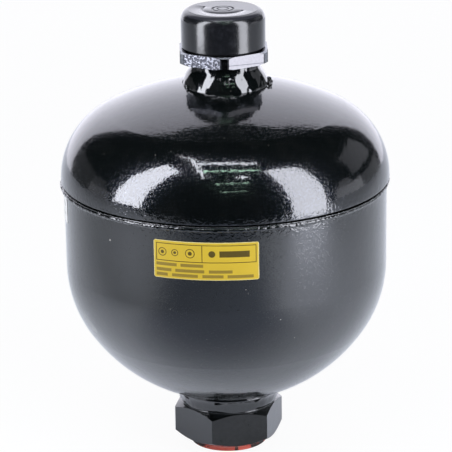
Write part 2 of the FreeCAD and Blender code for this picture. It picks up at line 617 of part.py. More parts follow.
# Charging screw with a hexagon socket, and the flat seal under its head
charging_screw = turned("charging_screw", [
    ("0", "screw_tip_end"),
    ("screw_radius - screw_tip", "screw_tip_end"),
    ("screw_radius", "screw_tip_end + screw_tip"),
    ("screw_radius", "screw_seat"),
    ("screw_head_radius", "screw_seat"),
    ("screw_head_radius", "screw_head_top - screw_head_chamfer"),
    ("screw_head_radius - screw_head_chamfer", "screw_head_top"),
    ("0", "screw_head_top"),
])
socket = new_sketch(charging_screw, "charging_screw_socket", "XY_Plane", "screw_head_top")
draw(socket, hexagon("socket_across_flats", "gas_hexagon_turn"))
cut_down(charging_screw, socket, "socket_depth")

turned("charging_screw_seal", [
    (f"{screw_hole} + seal_clearance", "recess_floor"),
    ("screw_head_radius + washer_overhang", "recess_floor"),
    ("screw_head_radius + washer_overhang", "screw_seat"),
    (f"{screw_hole} + seal_clearance", "screw_seat"),
])

# Dust seal between the hexagon and the mouth of the cap
turned("dust_seal", [
    ("dust_seal_inner", "hexagon_top"),
    ("dust_seal_outer", "hexagon_top"),
    ("dust_seal_outer", "hexagon_top + dust_seal_height"),
    ("dust_seal_inner", "hexagon_top + dust_seal_height"),
])

# Protective cap: a moulded cap screwed over the nipple
turned("protective_cap", [
    ("cap_mouth_radius", "cap_mouth"),
    ("cap_radius - cap_mouth_chamfer", "cap_mouth"),
    ("cap_radius", "cap_mouth + cap_mouth_chamfer"),
    ("cap_radius", "cap_top - cap_edge_round", "cap_edge_round", "left"),
    ("cap_radius - cap_edge_round", "cap_top"),
    ("0", "cap_top"),
    ("0", "cap_ceiling"),
    ("cap_bore", "cap_ceiling"),
    ("cap_bore", "cap_mouth_end"),
    ("cap_mouth_radius", "cap_mouth_end"),
])


def label(name):
    # a thin sheet wrapped on the lower shell, with rounded corners
    top = f"seam_height - {name}_drop"
    sweep = f"{name}_width / label_radius * 180 / pi"
    body = new_body(name)
    sketch = new_sketch(body, name + "_section", "XZ_Plane")
    draw(sketch, [
        ("label_radius", f"{top} - {name}_height"),
        ("label_radius + label_thickness", f"{top} - {name}_height"),
        ("label_radius + label_thickness", top),
        ("label_radius", top),
    ])
    revolution = body.newObject("PartDesign::Revolution", name + "_wrap")
    revolution.Profile = sketch
    revolution.ReferenceAxis = (sketch, ["V_Axis"])
    revolution.setExpression("Angle", bound(sweep))
    document.recompute()
    corners = [f"Edge{index}" for index, edge in enumerate(revolution.Shape.Edges, start=1)
               if abs(edge.Length - number("label_thickness")) < 1e-6]
    rounding = body.newObject("PartDesign::Fillet", name + "_corners")
    rounding.Base = (revolution, corners)
    rounding.setExpression("Radius", bound("label_corner"))
    start = number(f"{name}_angle - ({sweep}) / 2")
    body.Placement = FreeCAD.Placement(
        FreeCAD.Vector(0, 0, 0), FreeCAD.Rotation(FreeCAD.Vector(0, 0, 1), start))
    document.recompute()


label("yellow_label")
label("white_label")

# Every object is sound before anything is written
for item in document.Objects:
    if "Invalid" in item.State or "Error" in item.State:
        raise RuntimeError(item.Label + ": " + ", ".join(item.State))
for piece in pieces:
    if piece.Shape.isNull() or not piece.Shape.isValid() or len(piece.Shape.Solids) != 1:
        raise RuntimeError(piece.Label + ": not one valid solid")

os.makedirs("parts", exist_ok=True)
for piece in pieces:
    piece.Shape.exportStep(os.path.join("parts", piece.Label + ".step"))
    box = piece.Shape.BoundBox
    print(f"{piece.Label:20s} volume {piece.Shape.Volume:10.1f}  z {box.ZMin:8.3f} to {box.ZMax:8.3f}")
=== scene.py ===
import math
import bpy
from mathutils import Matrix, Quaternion, Vector, noise


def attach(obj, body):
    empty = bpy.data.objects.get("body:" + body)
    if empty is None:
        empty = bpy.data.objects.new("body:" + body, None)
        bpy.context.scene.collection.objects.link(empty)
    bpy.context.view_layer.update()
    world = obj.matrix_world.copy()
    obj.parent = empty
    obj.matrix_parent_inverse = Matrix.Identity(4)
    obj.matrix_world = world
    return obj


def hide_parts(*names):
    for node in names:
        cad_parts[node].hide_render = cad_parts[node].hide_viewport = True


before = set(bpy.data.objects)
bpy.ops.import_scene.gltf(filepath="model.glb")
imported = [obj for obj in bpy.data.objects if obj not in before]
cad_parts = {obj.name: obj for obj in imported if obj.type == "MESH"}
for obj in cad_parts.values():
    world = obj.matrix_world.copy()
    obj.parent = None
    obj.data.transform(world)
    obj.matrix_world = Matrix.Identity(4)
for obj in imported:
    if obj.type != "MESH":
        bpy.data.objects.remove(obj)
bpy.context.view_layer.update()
mm = 0.001


# shaders: maths on sockets, node trees and the finishes' common parts

def tone(code):  # a hex colour as linear values
    parts = [int(code[i:i + 2], 16) / 255 for i in (1, 3, 5)]
    linear = [p / 12.92 if p <= 0.04045 else ((p + 0.055) / 1.055) ** 2.4 for p in parts]
    return (*linear, 1.0)


class Signal:  # a shader socket that takes Python's operators
    def __init__(self, board, socket):
        self.board = board
        self.socket = socket

    def maths(self, operation, *values):
        return self.board.node("ShaderNodeMath", {"operation": operation}, dict(enumerate(values)))

    def __add__(self, other):
        return self.maths("ADD", self, other)

    def __radd__(self, other):
        return self.maths("ADD", other, self)

    def __sub__(self, other):
        return self.maths("SUBTRACT", self, other)

    def __rsub__(self, other):
        return self.maths("SUBTRACT", other, self)

    def __mul__(self, other):
        return self.maths("MULTIPLY", self, other)

    def __rmul__(self, other):
        return self.maths("MULTIPLY", other, self)

    def __gt__(self, other):
        return self.maths("GREATER_THAN", self, other)

    def __lt__(self, other):
        return self.maths("LESS_THAN", self, other)

    def __abs__(self):
        return self.maths("ABSOLUTE", self)

    def largest(self, other):
        return self.maths("MAXIMUM", self, other)


class Board:  # a node tree, filled node by node
    def __init__(self, tree):
        self.tree = tree

    def node(self, kind, settings, inputs, output=0):
        made = self.tree.nodes.new(kind)
        for name, value in settings.items():
            setattr(made, name, value)
        for name, value in inputs.items():
            self.feed(made.inputs[name], value)
        return Signal(self, made.outputs[output])

    def feed(self, socket, value):
        if isinstance(value, Signal):
            self.tree.links.new(value.socket, socket)
        else:
            socket.default_value = value


class Finish(Board):  # a material; grains and depths are in mm
    def __init__(self, name, look):
        self.material = bpy.data.materials.new(name)
        self.material.use_nodes = True
        super().__init__(self.material.node_tree)
        self.shader = self.tree.nodes["Principled BSDF"]
        self.base = Signal(self, self.shader.outputs[0])
        for socket, value in look.items():
            self.shader.inputs[socket].default_value = value

    def wire(self, **sockets):  # base_color=... feeds the shader's Base Color
        for name, value in sockets.items():
            self.feed(self.shader.inputs[name.replace("_", " ").title()], value)

    def show(self, shader):  # the shader that the surface shows in the end
        self.feed(self.tree.nodes["Material Output"].inputs["Surface"], shader)

    def spot(self, turn=0.0, size=(1, 1, 1)):  # object coordinates, turned about the axis
        here = self.node("ShaderNodeTexCoord", {}, {}, "Object")
        return self.node("ShaderNodeMapping", {}, {
            "Vector": here, "Rotation": (0, 0, math.radians(turn)), "Scale": size})

    def axis(self, name, turn=0.0):  # one of those coordinates, in m
        return self.node("ShaderNodeSeparateXYZ", {}, {"Vector": self.spot(turn)}, name)

    def around(self, turn=0.0):  # the angle about the axis, in radians
        y = self.axis("Y", turn)
        return y.maths("ARCTAN2", y, self.axis("X", turn))

    def noise(self, grain, detail=2.0, rough=0.5, size=(1, 1, 1)):
        return self.node("ShaderNodeTexNoise", {}, {
            "Vector": self.spot(0.0, size), "Scale": 1 / (grain * mm),
            "Detail": detail, "Roughness": rough})

    def ease(self, value, low, high):  # 0 at low, 1 at high, either way round
        return self.node("ShaderNodeMapRange", {"interpolation_type": "SMOOTHSTEP"}, {
            "Value": value, "From Min": low, "From Max": high})

    def blotches(self, grain, detail, rough, low, high):
        return self.ease(self.noise(grain, detail, rough), low, high)

    def mix(self, mask, first, second):
        return self.node("ShaderNodeMix", {"data_type": "RGBA"}, {0: mask, 6: first, 7: second}, 2)

    def bump(self, height, depth, under=None):
        inputs = {"Height": height, "Distance": depth * mm}
        if under:
            inputs["Normal"] = under
        return self.node("ShaderNodeBump", {}, inputs)

    def peel(self, fine, broad):  # orange peel: grain and depth of its fine and broad waves
        waves = self.bump(self.noise(broad[0], 1.0), broad[1])
        return self.bump(self.noise(fine[0], 0.6), fine[1], waves)

    def over(self, mask, under, look, skin):  # lays a second shader over the first
        layer = self.node("ShaderNodeBsdfPrincipled", {}, look | {"Normal": skin})
        return self.node("ShaderNodeMixShader", {}, {0: mask, 1: under, 2: layer})

    def sheen(self, skin, mist=0.0, paintedShade=None):  # lacquer mirrors more at a flat angle
        facing = self.node("ShaderNodeLayerWeight", {}, {"Blend": 0.5, "Normal": skin}, "Facing")
        power, most = lacquer["rise"]
        rim = facing.maths("POWER", facing, power) * most
        whole = self.over(rim, self.base, lacquer["edge"], skin)
        if mist:
            least = lacquer["least"]
            grains = self.blotches(*lacquer["grains"]) * (1 - least) + least
            whole = self.over(grains * mist, whole, lacquer["mist"], skin)
        # a dull dark layer laid over where shade is painted
        if paintedShade:
            whole = self.over(paintedShade, whole, lacquer["paintedShade"], skin)
        self.show(whole)


def between(value, low, high):
    return (value > low) * (value < high)


def joined(masks):  # the largest of several masks
    whole = masks[0]
    for mask in masks[1:]:
        whole = whole.largest(mask)
    return whole


lacquer = {
    "rise": (4.6, 0.74),    # how steeply and how far the mirror grows towards the outline
    "edge": {"Base Color": (0.93, 0.94, 0.93, 1), "Metallic": 1.0, "Roughness": 0.08},
    "mist": {"Base Color": (0.62, 0.68, 1.0, 1), "Metallic": 1.0, "Roughness": 0.24},
    "grains": (0.8, 3.0, 0.5, 0.40, 0.70), "least": 0.3,    # the mist's, and between them
    # the dull dark layer for painted shade
    "paintedShade": {"Base Color": (0.004, 0.004, 0.003, 1), "Roughness": 0.45, "IOR": 1.25},
}


# modelling: sections in mm (radius, height), spun or wound round the axis

weldGap = 0.002 * mm    # vertices closer than this are one


def cleanSlate():
    if bpy.context.object and bpy.context.object.mode != "OBJECT":
        bpy.ops.object.mode_set(mode="OBJECT")
    bpy.ops.object.select_all(action="DESELECT")


def takePiece(piece):
    cleanSlate()
    piece.select_set(True)
    bpy.context.view_layer.objects.active = piece


def named(name):
    piece = bpy.context.object
    piece.name = piece.data.name = name
    return piece


def drawSection(name, points):  # leaves the piece in edit mode, all selected
    cleanSlate()
    bpy.ops.mesh.primitive_plane_add(size=mm)
    piece = named(name)
    bpy.ops.object.mode_set(mode="EDIT")
    bpy.ops.mesh.merge(type="CENTER")
    here = points[0]
    bpy.ops.transform.translate(value=(here[0] * mm, 0, here[1] * mm))
    for point in points[1:]:
        move = ((point[0] - here[0]) * mm, 0, (point[1] - here[1]) * mm)
        bpy.ops.mesh.extrude_vertices_move(TRANSFORM_OT_translate={"value": move})
        here = point
    bpy.ops.mesh.select_all(action="SELECT")
    return piece


def faceOut(smooth):  # normals outward, edges under the angle smooth
    bpy.ops.mesh.normals_make_consistent(inside=False)
    bpy.ops.object.mode_set(mode="OBJECT")
    bpy.ops.object.shade_smooth_by_angle(angle=math.radians(smooth))


def ripple(piece, grain, depth):  # lumps of the given grain and depth in mm
    takePiece(piece)
    clouds = bpy.data.textures.new(piece.name + "Lumps", "CLOUDS")
    clouds.noise_scale = grain * mm
    clouds.noise_depth = 1
    lumps = piece.modifiers.new("lumps", "DISPLACE")
    lumps.texture = clouds
    lumps.texture_coords = "LOCAL"
    lumps.strength = depth * mm
    lumps.mid_level = 0.5
    bpy.ops.object.modifier_apply(modifier="lumps")


def turnProfile(name, points, steps, smooth, lumps=()):
    piece = drawSection(name, points)
    bpy.ops.mesh.spin(steps=steps, angle=2 * math.pi, center=(0, 0, 0), axis=(0, 0, 1))
    bpy.ops.mesh.select_all(action="SELECT")
    bpy.ops.mesh.remove_doubles(threshold=weldGap)
    faceOut(smooth)
    for grain, depth in lumps:
        ripple(piece, grain, depth)
    return piece


def arcPoints(centre, radius, start, end, count):  # points of an arc in a section, degrees
    turns = [math.radians(start + (end - start) * i / count) for i in range(count + 1)]
    return [(centre[0] + radius * math.cos(t), centre[1] + radius * math.sin(t)) for t in turns]


def dress(piece, finish, body, slot, *stands):
    piece.data.materials.clear()
    piece.data.materials.append(finish)
    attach(piece, body)
    if stands:
        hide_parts(*stands)


def coat(finish, *nodes):
    for node in nodes:
        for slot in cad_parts[node].material_slots:
            slot.material = finish


# camera, fitted to the photograph

view = {
    "place": (0, -1.0269, 0.434),
    "aim": (0, 0, 0.09565),
    "lens": 204.77,
    "lean": -0.0147,
}

cleanSlate()
bpy.ops.object.camera_add(location=view["place"])
camera = named("camera")
look = (Vector(view["aim"]) - Vector(view["place"])).to_track_quat("-Z", "Y")
camera.rotation_mode = "QUATERNION"
camera.rotation_quaternion = look @ Quaternion((0, 0, 1), view["lean"])
camera.data.lens = view["lens"]
camera.data.sensor_width = 36
camera.data.clip_start = 0.01
camera.data.clip_end = 30
bpy.context.scene.camera = camera
bpy.context.scene.view_settings.view_transform = "Standard"
print("camera set")


# studio: soft boxes and cards that the camera doesn't see, a pale floor with painted shade in
# front and a white surround

studio = {
    "cool": "#F4F6FF", "green": "#D6FFE6", "white": "#EFEFFB",
    "boxes": [    # name, corners as (azimuth, distance, height), strength
        ("leftBox", [(-73.5, 0.28, 0.108), (-53, 0.28, 0.109),
                     (-39.5, 0.28, 0.44), (-57, 0.28, 0.50)], 9.5),
        ("rightBox", [(44, 0.45, 0.0), (69, 0.45, 0.0), (63, 0.45, 0.58), (35, 0.45, 0.70)], 7.6),
    ],
    "backdrop": [(-0.95, 0.9, 0.0), (0.85, 0.9, 0.0), (0.40, 0.9, 1.50), (-0.45, 0.9, 1.62)],
    "backdropGlow": 1.55,
    "centre": (0, 0, 0.118), "away": 1.4,    # the strips hang on a sphere round this place
    "strips": [    # name, corners as (azimuth, elevation), colour, strength
        ("topBar", [(-38, 64), (38, 64), (42, 66.6), (-42, 66.6)], "cool", 9.5),
        ("greenLine", [(-22, 55.5), (34, 54), (34, 56), (-22, 57.5)], "green", 8.0),
        ("farMark", [(9, 46), (20, 46.5), (20, 50), (11, 49)], "cool", 10.0),
        ("farLine", [(-9, 38.7), (18, 38.7), (18, 40.2), (-9, 40.2)], "green", 5.0),
        ("lowLine", [(-3, 27.6), (16, 27.6), (16, 29), (-3, 29)], "green", 3.5),
        ("slantLine", [(-56, 70), (-20, 46), (-17.5, 47.5), (-53, 72.5)], "cool", 9.0),
        ("slantTip", [(-81, 68.5), (-56, 70), (-53, 72.5), (-81, 70)], "cool", 7.0),
        ("greyPanel", [(100, 10), (130, 10), (130, 30), (100, 30)], "cool", 0.35),
        ("rightLow", [(79, -5), (108, -5), (105, 5), (79, 5)], "cool", 0.95),
        ("rightHigh", [(80, 5), (97, 5), (94, 11), (84, 11)], "cool", 0.45),
        ("rightFar", [(108, -5), (133, -5), (133, 5), (105, 5)], "cool", 0.25),
        ("leftLow", [(-106, -5), (-86, -5), (-86, 4), (-104, 4)], "cool", 0.42),
        ("leftHigh", [(-104, 4), (-88, 4), (-92, 12), (-103, 12)], "cool", 0.18),
        ("leftFar", [(-133, -5), (-106, -5), (-103, 14), (-133, 14)], "cool", 0.10),
    ],
    "room": 3.2, "roomTone": 0.004,
    "floor": [(-1.4, -0.42, 0), (1.4, -0.42, 0), (1.4, 1.5, 0), (-1.4, 1.5, 0)],
    "floorTone": "#F1F4FA",
    "floorShade": "#A0A6B4",             # painted shade on the floor in front, where the cup mirrors it
    "patch": (4.6, 0.15, 4.2, 1.15),    # its scale and shift in X, then in Y
    "patchEdge": (0.25, 1.1),
    "floorWhite": 0.93,
    "fill": 0.31,
}


def heading(azimuth, reach, height):  # azimuth 0 looks to the camera, + to the right
    a = math.radians(azimuth)
    return Vector((reach * math.sin(a), -reach * math.cos(a), height))


def onSphere(azimuth, elevation):
    e, away = math.radians(elevation), studio["away"]
    return Vector(studio["centre"]) + heading(azimuth, away * math.cos(e), away * math.sin(e))


def sheet(name, corners, finish):  # a flat stage piece with its corners in turn
    cleanSlate()
    bpy.ops.mesh.primitive_plane_add(size=1)
    card = named(name)
    for index, corner in zip((0, 1, 3, 2), corners):
        card.data.vertices[index].co = corner
    card.data.materials.append(finish)
    return card


def glowFinish(name, colour, strength):
    return Finish(name, {
        "Base Color": (0, 0, 0, 1), "Specular IOR Level": 0.0,
        "Emission Color": colour, "Emission Strength": strength}).material


def panel(name, corners, colour, strength):
    sheet(name, corners, glowFinish(name, tone(studio[colour]), strength)).visible_camera = False


for name, corners, strength in studio["boxes"]:
    panel(name, [heading(*corner) for corner in corners], "cool", strength)
panel("backdropCard", studio["backdrop"], "white", studio["backdropGlow"])
for name, corners, colour, strength in studio["strips"]:
    panel(name, [onSphere(*corner) for corner in corners], colour, strength)

cleanSlate()
bpy.ops.mesh.primitive_uv_sphere_add(segments=48, ring_count=24, radius=studio["room"])
room = named("darkRoom")
room.data.materials.append(glowFinish("darkRoom", (1, 1, 1, 1), studio["roomTone"]))
for flag in ("camera", "diffuse", "transmission", "volume_scatter", "shadow"):
    setattr(room, "visible_" + flag, False)

floorTone = tone(studio["floorTone"])
table = Finish("tableTop", {"Base Color": floorTone, "Roughness": 0.9, "Specular IOR Level": 0.1})
# painted shade: a darker patch on the floor in front of the object, mirrored by the cup
squeeze, toRight, flatten, toBack = studio["patch"]
sideways = table.axis("X") * squeeze + toRight
forward = table.axis("Y") * flatten + toBack
wearAndShade = 1 - table.ease(sideways * sideways + forward * forward, *studio["patchEdge"])
table.wire(base_color=table.mix(wearAndShade, floorTone, tone(studio["floorShade"])))
glow = table.node("ShaderNodeEmission", {}, {"Color": (1, 1, 1, 1), "Strength": 1.0})
seen = table.node("ShaderNodeLightPath", {}, {}, "Is Camera Ray") * studio["floorWhite"]
table.show(table.node("ShaderNodeMixShader", {}, {0: seen, 1: table.base, 2: glow}))
sheet("floor", studio["floor"], table.material)

world = bpy.data.worlds.new("studioWorld")
bpy.context.scene.world = world
world.use_nodes = True
surround = Board(world.node_tree)
direct = joined([surround.node("ShaderNodeLightPath", {}, {}, ray)
                 for ray in ("Is Camera Ray", "Is Glossy Ray", "Is Transmission Ray")])
level = surround.node("ShaderNodeMapRange", {}, {
    "Value": direct, "To Min": studio["fill"], "To Max": 1.0})
background = world.node_tree.nodes["Background"]
background.inputs["Color"].default_value = (1, 1, 1, 1)
surround.feed(background.inputs["Strength"], level)
print("studio set")


# black paint: a near mirror with peel, pores, spatter beside the girth weld and a few knocks

paint = {
    # dust: a pale tone for dust and chips, and for the specks, which are painted glints
    "black": "#070A0A", "dust": "#B9B6AE",
    "mirror": {"Roughness": 0.03, "IOR": 1.77, "Specular IOR Level": 0.5},
    "haze": (9.0, 4.0, 0.6, 0.45, 0.8), "hazeDust": 0.005,
    "pores": (1.0, 0.5, 0.54, 0.74),                  # their grain is the coat's
    "specks": (0.8, 1.0, 0.5, 0.80, 0.83),
    "drops": (1.5, 2.0, 0.5, 0.42, 0.62), "dropDepth": 0.058,
    "seam": 117.0, "beside": (7.0, 0.5),              # the drops' height, and how far from it, mm
    "knocks": [((-46.6, -48.6, 106.5), 0.55, 0.00), ((-58.0, -29.4, 66.2), 4.50, 0.52),
               ((-55.2, -30.8, 61.4), 5.00, 0.50), ((-52.4, -30.4, 56.4), 4.00, 0.54)],
    "chips": (0.9, 3.0, 0.7), "chipEdge": 0.05, "chipDust": 0.6,
    "shadedFlat": (77.1, 0.0202, 0.0185),    # angle, distance and top of the port's front flat, dulled and darkened as painted shade
    "shadeGrain": (2.0, 4.0), "shadeCover": (0.42, 0.25),
}
coats = {    # grain and depth in mm; gloss is the roughness, then what haze and pits add
    "domePaint": {"fine": (1.0, 0.024), "broad": (5.0, 0.030), "pits": (0.55, 0.011),
                  "gloss": (0.03, 0.02, 0.18), "dust": 0.5, "mist": 0.020},
    "cupPaint": {"fine": (1.0, 0.020), "broad": (4.0, 0.034), "pits": (0.50, 0.007),
                 "gloss": (0.05, 0.12, 0.25), "dust": 0.8, "mist": 0.006},
    "beadPaint": {"fine": (0.7, 0.030), "broad": (2.5, 0.060), "pits": (0.40, 0.006),
                  "gloss": (0.03, 0.04, 0.12), "dust": 0.6, "mist": 0.006},
    "bossPaint": {"fine": (1.2, 0.012), "broad": (4.0, 0.040), "pits": (0.50, 0.005),
                  "gloss": (0.03, 0.03, 0.12), "dust": 0.4, "mist": 0.006},
}


def knockMask(finish, place, reach, loose):  # chips within reach of a place, mm
    x, y, z = [finish.axis(name) * 1000 - at for name, at in zip("XYZ", place)]
    near = 1 - finish.ease(x * x + y * y + z * z, 0, reach ** 2)
    chips = finish.blotches(*paint["chips"], loose, loose + paint["chipEdge"])
    return near * chips * paint["chipDust"]


def blackPaint(name):
    made = coats[name]
    plain, hazy, pitted = made["gloss"]
    poreGrain, poreDepth = made["pits"]
    finish = Finish(name, paint["mirror"] | {"Base Color": tone(paint["black"])})
    haze = finish.blotches(*paint["haze"])
    pits = finish.blotches(poreGrain, *paint["pores"])
    # sparse pale specks painted into the colour: painted glints of paint nibs
    specks = finish.blotches(*paint["specks"]) * made["dust"]
    beside = finish.ease(abs(finish.axis("Z") * 1000 - paint["seam"]), *paint["beside"])
    drops = finish.blotches(*paint["drops"]) * beside
    skin = finish.bump(pits, poreDepth, finish.peel(made["fine"], made["broad"]))
    skin = finish.bump(drops, paint["dropDepth"], skin)
    knocks = [knockMask(finish, *knock) for knock in paint["knocks"]]
    pale = joined([specks, haze * paint["hazeDust"]] + knocks)
    finish.wire(
        base_color=finish.mix(pale, tone(paint["black"]), tone(paint["dust"])),
        roughness=haze * hazy + pits * pitted + plain,
        normal=skin)
    paintedShade = None
    # painted shade on the port's front flat, where it mirrors the shaded floor in front
    if name == "bossPaint":
        turn, reach, top = paint["shadedFlat"]
        least, more = paint["shadeCover"]
        onFlat = (finish.axis("X", turn) > reach) * (finish.axis("Z") < top)
        paintedShade = onFlat * (finish.noise(*paint["shadeGrain"]) * more + least)
    finish.sheen(skin, made["mist"], paintedShade)
    return finish.material


domePaint, cupPaint, beadPaint, bossPaint = [blackPaint(name) for name in coats]
coat(domePaint, "upper_shell")
coat(cupPaint, "lower_shell")
coat(bossPaint, "gas_boss", "port_boss")
print("black paint done")


# girth weld: a lumpy bead under the dome's rim

seam = {
    "steps": 900, "smooth": 70,
    "middle": (67.62, 116.12), "radius": 1.05,    # the bead's section
    "arc": (104, -108, 16),
    "back": [(66.7, 115.2), (66.7, 117.0)],
    "lumps": [(3.5, 0.50), (0.9, 0.42)],          # grain and depth
    "skin": 67.3,                                 # the bead's outside starts at this radius
    "thick": (183, 7, 0.75),                      # a thick run's angle, spread and height
    "thickNoise": (0.55, 700),
    "quiet": (-62, -44, 120, 0.55),               # it sinks from, is down from, up to; how far
    "reach": 68.98,                               # nothing stands out further
    "rim": (68.22, 117.22), "rimRadius": 0.36, "rimArc": (150, 510, 12),
    "rimLumps": [(3.0, 0.26), (0.8, 0.42)],
}
beadArc = arcPoints(seam["middle"], seam["radius"], *seam["arc"])
girthBead = turnProfile("girthBead", beadArc + seam["back"] + beadArc[:1],
                        seam["steps"], seam["smooth"], seam["lumps"])
thickAngle, spread, height = seam["thick"]
start, full, stop, sink = seam["quiet"]
level, grain = seam["thickNoise"]
for vertex in girthBead.data.vertices:
    angle = math.degrees(math.atan2(vertex.co.y, vertex.co.x)) % 360
    front = (angle + 180) % 360 - 180
    out = Vector((vertex.co.x, vertex.co.y, 0)).normalized()
    run = math.exp(-((angle - thickAngle) / spread) ** 2)
    thick = run * (level + noise.noise(vertex.co * grain))
    if vertex.co.xy.length > seam["skin"] * mm:
        vertex.co += out * max(0.0, thick) * height * mm
    if vertex.co.xy.length > seam["skin"] * mm and start < front < stop:
        vertex.co -= out * sink * mm * min(1.0, (front - start) / (full - start))
    vertex.co -= out * max(0.0, vertex.co.xy.length - seam["reach"] * mm)
dress(girthBead, beadPaint, "vessel", "shell_paint", "girth_weld")

rimArc = arcPoints(seam["rim"], seam["rimRadius"], *seam["rimArc"])
rimEdge = turnProfile("rimEdge", rimArc, seam["steps"], seam["smooth"], seam["rimLumps"])
dress(rimEdge, beadPaint, "vessel", "shell_paint")
print("girth weld done")


# port: the weld collar under the cup and a rim of paint on the hexagon's upper edge

port = {
    "collar": [(19.7, 18.9), (20.3, 18.95), (20.65, 19.35), (20.85, 20.0), (21.0, 21.0),
               (21.2, 22.2), (21.6, 23.2), (22.1, 24.0), (22.55, 24.55), (22.75, 24.9),
               (22.6, 25.25), (22.35, 25.5), (22.3, 25.85), (22.6, 26.3), (22.4, 26.9),
               (21.5, 27.0), (19.7, 26.0), (19.7, 18.9)],
    "lumps": [(6.0, 0.5), (1.8, 0.25)],
    "rim": (20.05, 18.75), "rimRadius": 0.32, "rimArc": (135, 495, 12),
    "rimLumps": [(2.0, 0.10)],
    "steps": 360, "rimSteps": 256, "smooth": 70,
}
portBead = turnProfile("portBead", port["collar"], port["steps"], port["smooth"], port["lumps"])
dress(portBead, bossPaint, "vessel", "boss_paint", "port_weld")

rimArc = arcPoints(port["rim"], port["rimRadius"], *port["rimArc"])
portRim = turnProfile("portRim", rimArc, port["rimSteps"], port["smooth"], port["rimLumps"])
dress(portRim, bossPaint, "vessel", "boss_paint")
print("port weld done")


# gas boss: its flank and weld in one, with crumbs of dried paint at the foot

flank = {
    "section": [(9.0, 168.20), (13.7, 168.20), (14.05, 167.9), (14.15, 167.0), (14.25, 165.9),
                (14.55, 164.9), (15.15, 164.0), (15.75, 163.1), (16.3, 162.1), (16.8, 161.0),
                (17.2, 159.9), (17.5, 158.8), (17.72, 157.9), (17.6, 157.1), (17.0, 156.4),
                (9.0, 156.4), (9.0, 168.20)],
    "lumps": [(6.0, 0.70), (2.4, 0.22)], "steps": 300, "smooth": 60,
    "shift": 0.7,    # it sits a little to the right of the axis, mm
    "top": 168.22,
    "foot": 157.4, "step": 0.45, "grow": 1.25, "tall": 1.3,    # of the crumbs
    "spikes": (1.1, 1100),
    "burrs": [(-14, 17.9, 0.50), (-9, 18.4, 0.62), (-5, 18.9, 0.45), (-1, 18.3, 0.70),
              (3, 19.0, 0.42), (7, 18.4, 0.60), (11, 18.8, 0.40), (16, 18.1, 0.55),
              (22, 17.8, 0.45), (172, 17.6, 0.5), (166, 17.9, 0.4), (-152, 17.7, 0.45)],
    "bubble": {"angle": -88, "out": 16.25, "height": 162.0,
               "radius": 1.0, "thick": 0.22, "lean": 62},
}
bossBead = turnProfile("bossBead", flank["section"],
                       flank["steps"], flank["smooth"], flank["lumps"])
for vertex in bossBead.data.vertices:
    vertex.co.x += flank["shift"] * mm
    vertex.co.z = min(vertex.co.z, flank["top"] * mm)
dress(bossBead, bossPaint, "vessel", "boss_paint", "gas_boss_weld", "gas_boss")


def onFlank(angle, radius, height):
    a = math.radians(angle)
    x, y = radius * math.cos(a) + flank["shift"], radius * math.sin(a)
    return (x * mm, y * mm, height * mm)


def blob(name, place, size, tall):  # a spiky crumb of dried paint
    cleanSlate()
    bpy.ops.mesh.primitive_ico_sphere_add(subdivisions=3, radius=size * mm, location=place)
    bpy.ops.object.transform_apply(location=True, rotation=True, scale=True)
    lump = named(name)
    depth, grain = flank["spikes"]
    for vertex in lump.data.vertices:
        away = vertex.co - Vector(place)
        vertex.co = Vector(place) + away * (1 + depth * noise.noise(vertex.co * grain))
        vertex.co.z = place[2] + (vertex.co.z - place[2]) * tall
    bpy.ops.object.shade_smooth()
    dress(lump, bossPaint, "vessel", "boss_paint")


for count, (angle, radius, size) in enumerate(flank["burrs"]):
    place = onFlank(angle, radius, flank["foot"] + count % 3 * flank["step"])
    blob(f"paintBurr{count + 1}", place, size * flank["grow"], flank["tall"])

bubble = flank["bubble"]
cleanSlate()
bpy.ops.mesh.primitive_torus_add(
    major_radius=bubble["radius"] * mm, minor_radius=bubble["thick"] * mm,
    major_segments=40, minor_segments=10,
    location=onFlank(bubble["angle"], bubble["out"], bubble["height"]),
    rotation=(math.radians(bubble["lean"]), 0, math.radians(bubble["angle"]) + math.radians(90)))
bpy.ops.object.transform_apply(location=True, rotation=True, scale=True)
paintBubble = named("paintBubble")
bpy.ops.object.shade_smooth()
dress(paintBubble, bossPaint, "vessel", "boss_paint")
print("gas boss done")


# cap: a turned shell, with rings (radius, half width, height) and an engraved arc on top

cap = {
    "top": 189.34, "side": 17.35, "shoulder": 3.8, "bore": 14.5,
    "foot": (174.14, 173.84, 0.3),       # where the side ends, the rim and its chamfer
    "recess": (16.2, 175.14),            # radius and top of the wider mouth
    "ceiling": 186.34,
    "rings": [(14.2, 0.16, -0.20), (4.3, 0.34, -0.40), (2.3, 0.26, -0.26)],
    "ringWidths": (1.4, 0.6),            # a ring's foot and crest over its half width
    "arc": (8.6, 0.46, 0.50),            # radius and half width too, and its depth
    "sweep": (150, 340),                 # where it runs, degrees anticlockwise from +X
    "bend": (88, 0, 16),                 # the shoulder's arc
    "steps": 256, "smooth": 30,
    "lid": (0.1876, 0.1883),             # the top and the shoulder are painted lighter from here up, a painted sheen
    "plastic": "#17181B", "wearAndShade": ("#131417", "#222327"), "dust": "#2E2E35",
    "wear": (2.5, 5.0, 0.7, 0.45, 0.75),
}
capTop, side = cap["top"], cap["side"]
wide, narrow = cap["ringWidths"]
crown = [(0, capTop)]
for radius, half, height in sorted(cap["rings"] + [(cap["arc"][0], cap["arc"][1], 0.0)]):
    crown += [(radius - half * wide, capTop), (radius - half * narrow, capTop + height),
              (radius + half * narrow, capTop + height), (radius + half * wide, capTop)]
bend = cap["shoulder"]
shoulder = arcPoints((side - bend, capTop - bend), bend, *cap["bend"])
sideEnd, rim, chamfer = cap["foot"]
mouth, mouthTop = cap["recess"]
